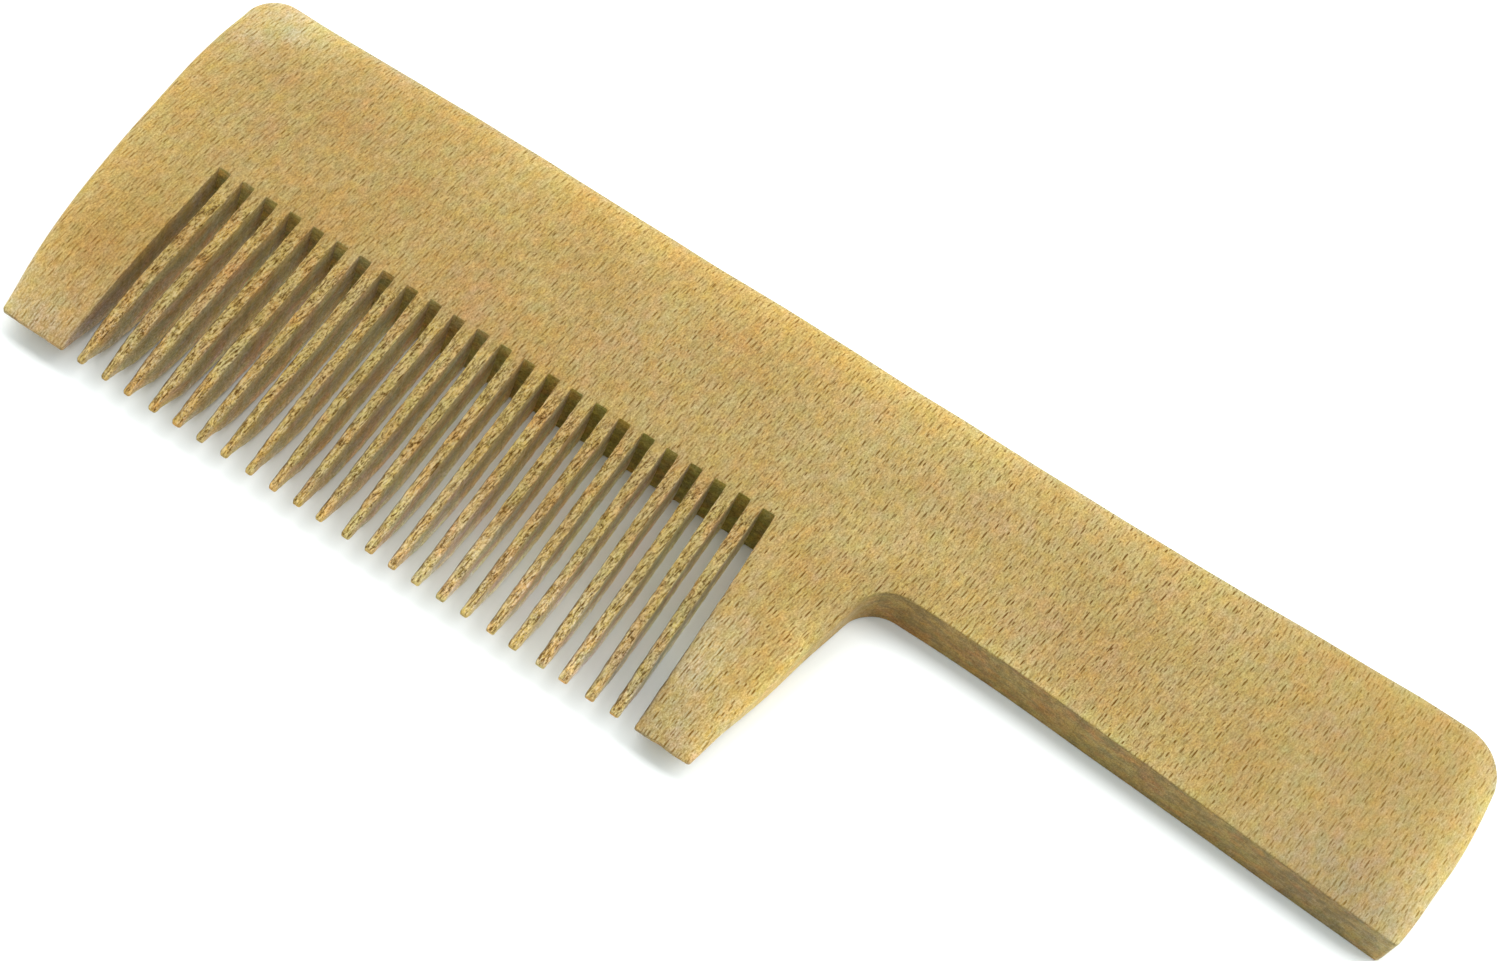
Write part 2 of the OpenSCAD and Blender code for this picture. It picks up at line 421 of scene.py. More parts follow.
def rim_distance(points):
    """Distance of plan points to the rolled rim, and the roll's size there."""
    here = np.where(ROLL[:, 0] > NO_ROLL)[0]
    after = np.minimum(here + 1, N - 1)
    joined = ((after - here == 1) & (ROLL[after, 0] > NO_ROLL))[:, None]
    a, b = PLAN[here], np.where(joined, PLAN[after], PLAN[here])
    roll_a, roll_b = ROLL[here], np.where(joined, ROLL[after], ROLL[here])
    ab = b - a
    length2 = np.maximum((ab**2).sum(1), 1e-12)
    dist = np.empty(len(points))
    size = np.empty((len(points), 2))
    batch = 2000
    for i in range(0, len(points), batch):
        p = points[i : i + batch]
        ap = p[:, None, :] - a[None]
        t = np.clip((ap * ab[None]).sum(2) / length2, 0, 1)
        off = ap - t[..., None] * ab[None]
        d = np.sqrt((off**2).sum(2))
        nearest = d.argmin(1)
        k = np.arange(len(p))
        dist[i : i + batch] = d[k, nearest]
        t = t[k, nearest][:, None]
        size[i : i + batch] = roll_a[nearest] * (1 - t) + roll_b[nearest] * t
    return dist, size


# Depth and length of the rounding at the tips, and the slope at which the upper face falls toward
# the handle end, with the X where it starts and the length over which it bends in there
NOSE_DEPTH, NOSE_LENGTH = 0.46, 8.0
FALL_SLOPE, FALL_X, FALL_BEND = 0.0178, 31, 4


def heights(points):
    """Height of the top and of the bottom of the wood at plan points."""
    x, y = points[:, 0], points[:, 1]
    above = y - tips_at(x)
    # Both faces close in to the tips, and are rounded off in the last few millimetres
    short = np.clip(BEVEL_LENGTH - above, 0, BEVEL_LENGTH + 1)
    close = BEVEL_R - np.sqrt(BEVEL_R**2 - short**2)
    close += NOSE_DEPTH * np.clip(1 - np.clip(above, 0, None) / NOSE_LENGTH, 0, 1) ** 1.8
    # The upper face falls least along the spine
    fall = FALL_SLOPE * (np.sqrt((x - FALL_X) ** 2 + FALL_BEND**2) + (x - FALL_X)) / 2
    fall *= 1 - 0.7 * smooth(y, 4, 28)
    thick = THICK - fall - 2 * close
    dist, size = rim_distance(points)
    wide, deep = size[:, 0], np.minimum(size[:, 1], 0.40 * thick)
    into = np.clip(1 - dist / np.maximum(wide, 1e-6), 0, 1)
    over = deep * (1 - (1 - into**ROLL_POWER) ** (1 / ROLL_POWER))
    sway = np.array([0.05 * ripple(a / 26.0, b / 26.0, 1.0) for a, b in points])
    top = THICK - fall - close - over + sway * np.clip(dist / 8, 0, 1)
    return top, close + over


# Rings of the outline, set in step by step over each face, and between them down the sides
WALLS = 5
BROAD_ROLL = 1.2


def plan_tree(points):
    """Search tree over plan points."""
    tree = kdtree.KDTree(len(points))
    for k, p in enumerate(points):
        tree.insert((p[0], p[1], 0), k)
    tree.balance()
    return tree


def gap_to(tree, p):
    """Distance of a plan point to the nearest in a tree."""
    return tree.find((p[0], p[1], 0))[2]


def insets():
    """How far the second and third ring are set in at each point of the outline."""
    corners = plan_tree(PLAN[(KIND == TIP) | (KIND == LOWER)])
    limit = 0.2 + 0.25 * np.array([gap_to(corners, p) for p in PLAN])
    narrow = ROLL[:, 0] < BROAD_ROLL
    second = np.where(narrow, 0.3 * EDGE, np.minimum(0.034 * ROLL[:, 0], 0.3 * limit))
    third = np.where(narrow, EDGE, np.minimum(0.134 * ROLL[:, 0], limit))
    return np.maximum(second, 0.02), np.maximum(third, 0.06)


def saw_shift(z):
    """How much lower the roots of the slots lie at height z than at the top face."""
    return SAW_Y + np.sqrt(SAW_R**2 - (z - THICK - SAW_RISE) ** 2) - ROOT_Y


def ring(distance, top):
    """One loop of the outline set in by distance, on the top or bottom face."""
    p = PLAN + INWARD * distance[:, None]
    u = np.clip(1 - distance / np.maximum(EDGE, 1e-6), 0, 1)
    edge_depth = EDGE * np.clip(1 - ROLL[:, 0], 0, 1)
    broken = edge_depth * (1 - np.sqrt(np.maximum(0, 1 - u**2)))
    z_top, z_bottom = heights(p)
    if top:
        return np.column_stack([p, z_top - broken])
    p[:, 1] += saw_shift(z_bottom) * FOLLOWS_SAW
    _, z_bottom = heights(p)
    return np.column_stack([p, z_bottom + broken])


def wall(k):
    """One loop of the outline down the sides."""
    t = k / WALLS
    p = TOP[0] * (1 - t) + BOTTOM[0] * t
    p[:, 0] = PLAN[:, 0]
    p[:, 1] = PLAN[:, 1] + saw_shift(p[:, 2]) * FOLLOWS_SAW
    return p


SECOND, THIRD = insets()
TOP = [ring(distance, True) for distance in (np.zeros(N), SECOND, THIRD)]
BOTTOM = [ring(distance, False) for distance in (np.zeros(N), SECOND, THIRD)]


# Points over both faces
def inside(points, polygon):
    """Which of the points lie inside the polygon."""
    ax, ay = polygon.T
    bx, by = np.roll(polygon, -1, 0).T
    hit = np.zeros(len(points), bool)
    batch = 1500
    for i in range(0, len(points), batch):
        x, y = points[i : i + batch].T[..., None]
        with np.errstate(divide="ignore", invalid="ignore"):
            cut = (bx - ax) * (y - ay) / (by - ay) + ax
        crossed = ((ay > y) != (by > y)) & (x < cut)
        hit[i : i + batch] = crossed.sum(1) % 2 == 1
    return hit


def points_along_roll():
    """Rows that follow the rolled rim, closer together where it turns faster."""
    rows = []
    for turn in (34, 46, 58, 70, 80, 90):
        d = ROLL[:, 0] * (1 - math.cos(math.radians(turn)))
        keep = (ROLL[:, 0] > BROAD_ROLL) & (d > THIRD + 0.12)
        rows.append((PLAN + INWARD * d[:, None])[keep])
    return np.concatenate(rows)


def points_along_teeth():
    """A row down the middle of each tooth."""
    rows = []
    for tooth in range(1, SLOTS):
        y = tips_at(slot_x(tooth)) + 0.9
        while y < ROOT_Y + 1.5:
            level = min(y, ROOT_Y)
            rows.append(((wall_x(tooth - 1, 1, level) + wall_x(tooth, -1, level)) / 2, y))
            y += 0.8
    return np.array(rows)


FINE_BELOW = -10


def points_on_grid():
    """A grid over the whole comb, finer where the faces curve in to the tips."""
    grid = []
    y, odd = TIP_Y, False
    while y < SPINE_Y:
        step = 1.25 if y < FINE_BELOW else 2.0
        x = LEFT_X + (step / 2 if odd else 0)
        while x < RIGHT_X:
            grid.append((x, y))
            x += step
        y += step * 0.87
        odd = not odd
    return np.array(grid)


CELL = 2


def keep_apart(candidates):
    """Those plan points that keep their gap from all taken before, sought in square cells."""
    taken, cells = [], {}
    for p, gap in candidates:
        i, j = int(p[0] // CELL), int(p[1] // CELL)
        around = [(a, b) for a in (i - 1, i, i + 1) for b in (j - 1, j, j + 1)]
        near = (q for place in around for q in cells.get(place, ()))
        if all((q[0] - p[0]) ** 2 + (q[1] - p[1]) ** 2 >= gap * gap for q in near):
            taken.append(p)
            cells.setdefault((i, j), []).append(p)
    return np.array(taken)


def fill_points(loop):
    """Points over a face, all inside its outermost loop and clear of it."""
    rim = plan_tree(loop)
    grid = points_on_grid()
    fine = grid[:, 1] < FINE_BELOW
    candidates = []
    for points, from_rim, gap in (
        (points_along_roll(), 0.16, 0.14),
        (points_along_teeth(), 0.32, 0.5),
        (grid[fine], 0.62 * 0.8, 0.62),
        (grid[~fine], 0.9 * 0.8, 0.9),
    ):
        within = points[inside(points, loop)]
        candidates += [(p, gap) for p in within if gap_to(rim, p) > from_rim]
    return keep_apart(candidates)


# The mesh: the rings from the top face down to the bottom one, joined by strips, and two caps
RINGS = {("top", k): TOP[k] for k in (2, 1, 0)}
RINGS |= {("wall", k): wall(k) for k in range(1, WALLS)}
RINGS |= {("bottom", k): BOTTOM[k] for k in (0, 1, 2)}
START = {name: n * N for n, name in enumerate(RINGS)}

verts = [tuple(p) for loop in RINGS.values() for p in loop]
faces = []


def join_rings():
    starts = list(START.values())
    for upper, lower in zip(starts, starts[1:]):
        for i in range(N):
            j = (i + 1) % N
            faces.append((upper + i, lower + i, lower + j, upper + j))


def cap(side):
    """Closes the top or bottom face with triangles between its inner ring and points over it."""
    plan = RINGS[side, 2][:, :2]
    extra = fill_points(plan)
    points = [Vector(p) for p in np.concatenate([plan, extra])]
    _, _, triangles, origins, _, _ = geometry.delaunay_2d_cdt(points, [], [list(range(N))], 1, 1e-6)
    z_top, z_bottom = heights(extra)
    first = len(verts)
    verts.extend((p[0], p[1], z) for p, z in zip(extra, z_top if side == "top" else z_bottom))
    if not all(origins):
        raise RuntimeError("the outline crosses itself")
    number = [START[side, 2] + o[0] if o[0] < N else first + o[0] - N for o in origins]
    for triangle in triangles:
        corners = [number[k] for k in triangle]
        faces.append(tuple(corners if side == "top" else reversed(corners)))


join_rings()
cap("top")
cap("bottom")

VERTS = np.array(verts)
mesh = bpy.data.meshes.new("comb_wood")
mesh.from_pydata([tuple(v) for v in VERTS * MM], [], faces)
mesh.validate()
mesh.update()
mesh.shade_smooth()
comb = bpy.data.objects.new("comb_wood", mesh)
bpy.context.scene.collection.objects.link(comb)
weigh = comb.modifiers.new("even_shading", "WEIGHTED_NORMAL")
weigh.mode = "FACE_AREA"
weigh.weight = 50
weigh.keep_sharp = True

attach(comb, "root")
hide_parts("comb")

# Where the wood is stained, sanded or sawn, where it pales toward the tips, and where light and shade are
# painted, as attributes that the material reads
VX, VY = VERTS[:, 0], VERTS[:, 1]
ABOVE_TIPS = VY - tips_at(VX)


def paint(name, values):
    layer = mesh.attributes.new(name, "FLOAT", "POINT")
    layer.data.foreach_set("value", np.asarray(values, np.float32))


def paint_rims():
    """Painted sheen, painted highlights and shade, and paler sanded wood, on and near the sanded sides."""
    away, _ = rim_distance(VERTS[:, :2])
    # A broad brightness, partly paler sanded wood and partly painted sheen, most at the handle end and mid
    # spine
    sanding_and_sheen = 0.7 * np.exp(-((away / 4.5) ** 1.3)) + 0.3 * np.exp(-((away / 10.0) ** 2))
    sanding_and_sheen *= between(
        VX, (-96, 0.55), (-88, 0.6), (-80, 0.75), (-40, 0.9), (0, 1.05),
        (40, 0.65), (70, 0.38), (88, 0.45), (92, 1.1),
    )
    # More painted sheen on the rolled top left corner
    sanding_and_sheen *= 1 + 0.9 * smooth(VX, -76, -84) * smooth(VY, 20, 26)
    on_end = between(VY, (-2, 0.4), (3, 0.6), (10, 1.0), (22, 1.1), (28, 0.8))
    sanding_and_sheen *= np.where(VX > 85, on_end, 1.0)
    on_guard = smooth(VX, 3, 6) * smooth(VX, 30, 24) * smooth(VY, 6, 2)
    sanding_and_sheen *= 1 - 0.5 * on_guard * (1 - 0.6 * smooth(VY, -2, -8))
    sanding_and_sheen *= smooth(np.hypot(VX - NOTCH[0], VY - NOTCH[1]), 7, 13)
    paint("sanding_and_sheen", sanding_and_sheen)
    # The painted sheen is neutral round both ends and on the guard tooth, and warm along the spine
    cool_sheen = np.clip(1 - smooth(VY - 0.12 * (VX + 60), 8, 26), 0, 1) * smooth(VX, 60, 20)
    cool_sheen = np.maximum(cool_sheen, smooth(VX, -20, -80))
    cool_sheen = np.maximum(cool_sheen, 0.85 * smooth(VX, 82, 92) * smooth(VY, 30, 20))
    cool_sheen *= 1 - 0.5 * smooth(VX, 4, 7) * smooth(VX, 24, 18) * smooth(VY, 0, -6)
    paint("cool_sheen", cool_sheen)
    # A narrow painted highlight round the ends and the guard tooth, and a narrow painted shade along the
    # spine
    by_height = between(
        VY, (-30, 0.5), (-24, 0.6), (-20, 1.0), (-12, 0.95), (-4, 0.6), (0, 0.0)
    )
    painted_edge_light = np.maximum.reduce([
        0.42 * smooth(VX, -84, -88) * smooth(VY, 28, 24),
        0.5 * smooth(VX, 86, 90) * smooth(VY, 28, 24),
        smooth(VX, 3, 6) * smooth(VX, 26, 20) * smooth(VY, 3, 0) * by_height,
    ])
    paint("painted_edge_light", painted_edge_light * np.exp(-((away / 1.15) ** 1.6)))
    along_spine = smooth(VY, 22, 26) * smooth(VX, -90, -84)
    paint("painted_edge_shade", along_spine * np.exp(-((away / 1.1) ** 2)))


def paint_lower_edge():
    """A painted highlight makes the top face a little brighter along the handle's lower edge."""
    edge = PLAN[KIND == LOWER]
    edge = edge[np.argsort(edge[:, 0])]
    above = np.abs(VY - np.interp(VX, edge[:, 0], edge[:, 1]))
    light = 0.75 * np.exp(-((above / 0.8) ** 1.5)) + 0.25 * np.exp(-((above / 5.0) ** 2))
    light *= between(VX, (20, 0.0), (28, 1.0), (45, 1.0), (58, 0.6), (72, 0.0))
    paint("lower_edge_highlight", light)


def paint_teeth():
    """The teeth are rough on top, and paler toward their tips, partly from use and partly from painted
    light on the tips that slope away from the lamps.
    """
    guards = np.maximum(smooth(VX, -82.6, -83.6), smooth(VX, 0.0, 1.0))
    # The last two or three teeth by the handle pale less than those before them
    last_teeth = smooth(VX, -11, -5)
    worn_and_lit = smooth(ABOVE_TIPS, 18, between(VX, (-50, 4), (-35, 7)))
    worn_and_lit *= (0.3 + 0.45 * smooth(VX, -50, -15)) * (1 - 0.5 * last_teeth)
    on_guards = smooth(ABOVE_TIPS, 17, 4) * guards * np.where(VX > -40, 0.5, 1.0)
    paint("worn_and_lit", np.maximum(worn_and_lit, on_guards))
    # Paler ends of the teeth: partly paler wood, partly painted light on the tips that slope and round off
    # away from the lamps
    ends = 0.44 * smooth(ABOVE_TIPS, 13, 4) * (0.6 + 0.4 * smooth(VX, -75, -60))
    ends *= 1 - 0.9 * last_teeth
    ends += 0.2 * smooth(ABOVE_TIPS, 15, 10) * smooth(VX, -50, -38) * smooth(VX, -4, -10)
    ends += 0.5 * smooth(ABOVE_TIPS, 4.5, 1.5)
    paint("ends", np.clip(ends, 0, 1) * (1 - guards))
    paint("tooth", smooth(VY, 3.4, -1.0) * smooth(VX, -82.6, -81.4) * smooth(VX, 0.2, -1.0))


# Soft stains and pale places, each as X, Y, reach along X, reach along Y and strength
SPOTS = {
    "warm": (
        (-89.2, -17.0, 5.5, 7.5, 1.0),
        (-86.0, -6.0, 4.5, 6.0, 0.5),
        (7.0, -7.0, 4.0, 9.0, 0.25),
        (9.2, -15.2, 2.2, 4.5, 0.5),
        (10.5, -20.0, 1.5, 3.0, 0.3),
        (10.1, -2.8, 3.0, 2.5, 0.3),
        (20.2, 4.6, 5.0, 3.0, 0.3),
        (89.4, 22.1, 3.5, 5.0, 0.2),
    ),
    "pale": (
        (-88.7, -27.0, 3.5, 2.5, 0.4),
        (3.0, -17.8, 3.4, 5.5, 0.9),
        (10.1, -2.8, 3.0, 2.5, 0.2),
        # Painted highlight on the rolled top left corner
        (-89.0, 26.5, 4.0, 3.0, 1.0),
        (-24.7, 14.6, 8.0, 5.0, 0.45),
        (6.5, 20.7, 5.0, 5.0, 0.45),
        (90.5, -3.2, 2.5, 2.0, 0.9),
        # Painted highlight on the rolled top left corner
        (-91.7, 21.4, 2.0, 3.5, 0.7),
    ),
    "grey": (
        (5.0, -26.0, 5.0, 6.0, 0.18),
        (83.5, 1.8, 9.0, 4.0, 1.0),
    ),
}


def paint_spots():
    for name, spots in SPOTS.items():
        stain = np.zeros(len(VERTS))
        for x, y, reach_x, reach_y, strength in spots:
            stain += strength * np.exp(-(((VX - x) / reach_x) ** 2) - ((VY - y) / reach_y) ** 2)
        paint(name, np.clip(stain, 0, 1))


def paint_walls():
    """The sawn walls, how far down them a point is, and a dark line along the left edges of the teeth."""
    sawn = np.zeros(len(VERTS))
    below_top = np.zeros(len(VERTS))
    dark_left_edge = np.zeros(len(VERTS))
    # Left edges of the teeth toward their tips, which get a thin dark line
    left_edge = (KIND != ROLLED) * (INWARD[:, 0] > 0.5)
    left_edge = left_edge * smooth(PLAN[:, 1], -6, -16) * smooth(PLAN[:, 0], -84, -82)
    for (side, k), start in START.items():
        here = slice(start, start + N)
        sawn[here] = (KIND == SAWN) * (1.0 if side == "wall" else (1.0, 0.55, 0.0)[k])
        if side == "top":
            dark_left_edge[here] = left_edge * (1.0, 0.75, 0.0)[k]
            dark_left_edge[here] += left_edge * (0.0, 0.2, 0.4)[k] * (PLAN[:, 0] > 0.0)
        else:
            below_top[here] = (TOP[0][:, 2] - VERTS[here, 2]) / THICK
        if (side, k) == ("wall", 1):
            dark_left_edge[here] = left_edge * 0.9
    paint("sawn", sawn)
    paint("below_top", below_top)
    paint("dark_left_edge", dark_left_edge)


paint_rims()
paint_lower_edge()
paint_teeth()
paint_spots()
paint_walls()

# Materials. Colours are given as they look under the scene's light on the upper face.
LIGHT_LEVEL = 2.2


def tone(r, g, b):
    """Surface colour that shows as this one, from 0 to 255 in each channel."""

    def linear(v):
        v /= 255
        return v / 12.92 if v <= 0.04045 else ((v + 0.055) / 1.055) ** 2.4

    return tuple(linear(v) / LIGHT_LEVEL for v in (r, g, b))


YELLOW_WOOD, BROWN_WOOD, PINK_WOOD = tone(208, 171, 88), tone(205, 162, 76), tone(207, 162, 90)
BESIDE_RAYS = tone(226, 200, 130)
RAYS_AT_LEFT, RAYS_AT_RIGHT = tone(118, 76, 2), tone(124, 79, 8)
PIT, LIFTED, DARK_LEFT_EDGE = tone(108, 68, 20), tone(248, 218, 152), tone(112, 88, 46)


class Nodes:
    """Short ways to write node trees."""

    def __init__(self, name):
        self.material = bpy.data.materials.new(name)
        self.material.use_nodes = True
        self.tree = self.material.node_tree
        self.tree.nodes.clear()

    def new(self, kind, inputs=(), **values):
        """A node with these properties, and with its inputs set by name or number."""
        node = self.tree.nodes.new(kind)
        for key, value in values.items():
            setattr(node, key, value)
        for name, value in dict(inputs).items():
            self.put(value, node.inputs[name])
        return node

    def put(self, value, target):
        """Links a socket, or sets a number or a colour of three channels."""
        if isinstance(value, bpy.types.NodeSocket):
            self.tree.links.new(value, target)
        elif isinstance(value, tuple):
            target.default_value = (*value, 1.0)
        elif value is not None:
            target.default_value = value

    def surface(self, inputs):
        """Ends the tree in a shader with these inputs."""
        shader = self.new("ShaderNodeBsdfPrincipled", inputs)
        self.new("ShaderNodeOutputMaterial", {0: shader.outputs[0]})

    def math(self, operation, a, b=None, clamp=False):
        inputs = {0: a, 1: b}
        return self.new("ShaderNodeMath", inputs, operation=operation, use_clamp=clamp).outputs[0]

    def times(self, a, b, clamp=False):
        return self.math("MULTIPLY", a, b, clamp)

    def plus(self, a, b):
        return self.math("ADD", a, b)

    def largest(self, a, b):
        return self.math("MAXIMUM", a, b)

    def split(self, vector):
        return tuple(self.new("ShaderNodeSeparateXYZ", {0: vector}).outputs)

    def combine(self, x, y, z):
        return self.new("ShaderNodeCombineXYZ", {0: x, 1: y, 2: z}).outputs[0]

    def field(self, place, stretch, scale, detail, rough=0.5):
        """Noise from 0 to 1 at a place, whose axes are stretched first."""
        place = [v if factor == 1 else self.times(v, factor) for v, factor in zip(place, stretch)]
        inputs = {"Vector": self.combine(*place), "Scale": scale, "Detail": detail, "Roughness": rough}
        return self.new("ShaderNodeTexNoise", inputs).outputs["Fac"]

    def ramp(self, value, low, high, out_low=0.0, out_high=1.0, kind="SMOOTHSTEP"):
        """Goes softly from out_low to out_high as the value goes from low to high."""
        inputs = {"Value": value, "From Min": low, "From Max": high, "To Min": out_low, "To Max": out_high}
        return self.new("ShaderNodeMapRange", inputs, interpolation_type=kind).outputs["Result"]

    def straight(self, value, low, high, out_low=0.0, out_high=1.0):
        """As ramp, with a straight course."""
        return self.ramp(value, low, high, out_low, out_high, "LINEAR")

    def mix(self, factor, a, b, blend="MIX"):
        inputs = {0: factor, 6: a, 7: b}
        return self.new("ShaderNodeMix", inputs, data_type="RGBA", blend_type=blend).outputs[2]

    def multiply(self, color, gain):
        return self.mix(1.0, color, gain, "MULTIPLY")

    def tint(self, color, factor, low, high):
        """Colour times a gain per channel that runs from low to high with a factor."""
        return self.multiply(color, self.mix(factor, low, high))

    def gain(self, color, factor, high):
        """Colour times a gain per channel where the factor is 1, and unchanged where it is 0."""
        return self.tint(color, factor, (1, 1, 1), high)

    def attribute(self, name):
        return self.new("ShaderNodeAttribute", attribute_name=name).outputs["Fac"]

    def dashes(self, x, y, cell, half, lengths, depths, shift, jitter):
        """Short dashes along Y, one to a cell, each of its own length and strength.
        Gives the dashes and the thin strips beside them."""
        u = self.plus(self.times(x, 1 / cell[0]), shift[0])
        v = self.plus(self.times(y, 1 / cell[1]), shift[1])
        inputs = {"Vector": self.combine(u, v, 0.0), "Scale": 1.0, "Randomness": jitter}
        node = self.new("ShaderNodeTexVoronoi", inputs, voronoi_dimensions="2D", feature="F1")
        point_u, point_v, _ = self.split(node.outputs["Position"])
        own = self.new("ShaderNodeSeparateColor", {0: node.outputs["Color"]}).outputs
        across = self.math("ABSOLUTE", self.math("SUBTRACT", u, point_u))
        across = self.times(across, cell[0] / half[0])
        reach = self.straight(own[0], 0.0, 1.0, lengths[0] * half[1], lengths[1] * half[1])
        along = self.times(self.math("SUBTRACT", v, point_v), cell[1])
        along = self.math("DIVIDE", along, reach)
        along = self.times(along, along)
        depth = self.straight(own[1], 0.0, 1.0, *depths)
        core = self.ramp(self.plus(across, along), 1.0, 0.45)
        beside = self.math("ABSOLUTE", self.math("SUBTRACT", across, 1.9))
        strip = self.ramp(self.plus(beside, along), 1.0, 0.3)
        return self.times(core, depth), self.times(strip, depth)


# The wood turns from yellow brown at the left to paler and greyer at the handle's end
LEFT_WOOD = (1.0, 0.99, 0.91)
FURTHER_ALONG = (
    # From X, to X, gain per channel
    (-60, 10, (1.0, 1.03, 0.99)),
    (10, 50, (1.01, 1.07, 1.10)),
    (76, 90, (1.03, 1.10, 1.26)),
)
# The walls of the slots catch less light the deeper they go; painted light makes them look as pale there
# as higher up
WALL_TOP = (1.04, 1.02, 1.3)
PAINTED_LIGHT_DOWN = (
    # From depth, to depth, as shares of the thickness, gain per channel
    (0.0, 0.3, (1.26, 1.41, 2.4)),
    (0.3, 0.55, (1.92, 2.22, 4.2)),
    (0.55, 0.8, (2.85, 3.4, 6.8)),
)
# Gain per channel where an attribute of the mesh is 1, for stains, paler tips and painted light and shade
WEAR_AND_LIGHT = {
    "painted_edge_light": (1.55, 1.66, 2.0),
    "painted_edge_shade": (0.82, 0.98, 1.35),
    "worn_and_lit": (1.20, 1.26, 1.8),
    "ends": (1.45, 1.48, 1.50),
    "warm": (0.88, 0.79, 0.46),
    "pale": (1.10, 1.27, 1.8),
    "grey": (0.84, 0.93, 1.45),
}
# Gains of the painted sheen on the rims, neutral and warm, and of the painted highlight along the handle's
# lower edge
COOL_SHEEN = (1.40, 1.56, 1.85)
WARM_SHEEN = (1.50, 1.45, 1.22)
LOWER_EDGE_HIGHLIGHT = (1.18, 1.32, 1.5)


